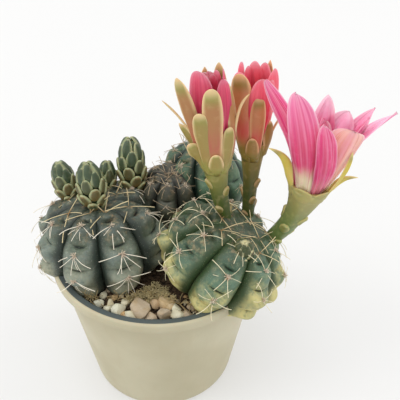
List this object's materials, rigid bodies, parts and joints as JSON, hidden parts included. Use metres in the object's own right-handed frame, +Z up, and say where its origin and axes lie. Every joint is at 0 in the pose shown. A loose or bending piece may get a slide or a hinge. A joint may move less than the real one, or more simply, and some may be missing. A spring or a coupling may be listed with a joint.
{
  "type": "potted chin cactus",
  "caption": "Clustered chin cactus with ribbed, spined heads, pink flowers on scaly green tubes and scaly buds, growing in peat and pebbles in a round tapered plastic nursery pot.",
  "frame": {"origin": "middle of the underside of the pot's foot", "axes": "+Z up out of the pot; -Y is the front, where the two big heads stand side by side; +X to the right, where the open flower leans out"},
  "size_m": [0.099, 0.0686, 0.1102],
  "materials": {
    "pot_plastic": "matte grey-beige moulded plastic",
    "peat": null,
    "pebble": "matte cream, tan and pinkish pebbles",
    "skin_blue": null,
    "skin_green": null,
    "skin_dark": null,
    "flower_green": null,
    "petal": null,
    "stamen": null,
    "bud_scale": null
  },
  "bodies": {
    "root": {"pot": "pot_plastic", "soil": "peat", "gravel_front": "pebble", "gravel_back": "pebble", "head_left": "skin_blue", "head_right": "skin_green", "head_middle": "skin_dark", "head_back": "skin_dark", "flower_1_tube": "flower_green", "flower_1_petals": "petal", "flower_1_stamens": "stamen", "flower_2_tube": "flower_green", "flower_2_petals": "petal", "flower_2_stamens": "stamen", "flower_3_tube": "flower_green", "flower_3_petals": "petal", "flower_3_stamens": "stamen", "bud_1": "bud_scale", "bud_2": "bud_scale", "bud_3": "bud_scale", "bud_4": "bud_scale", "bud_5": "bud_scale"}
  },
  "joints": []
}
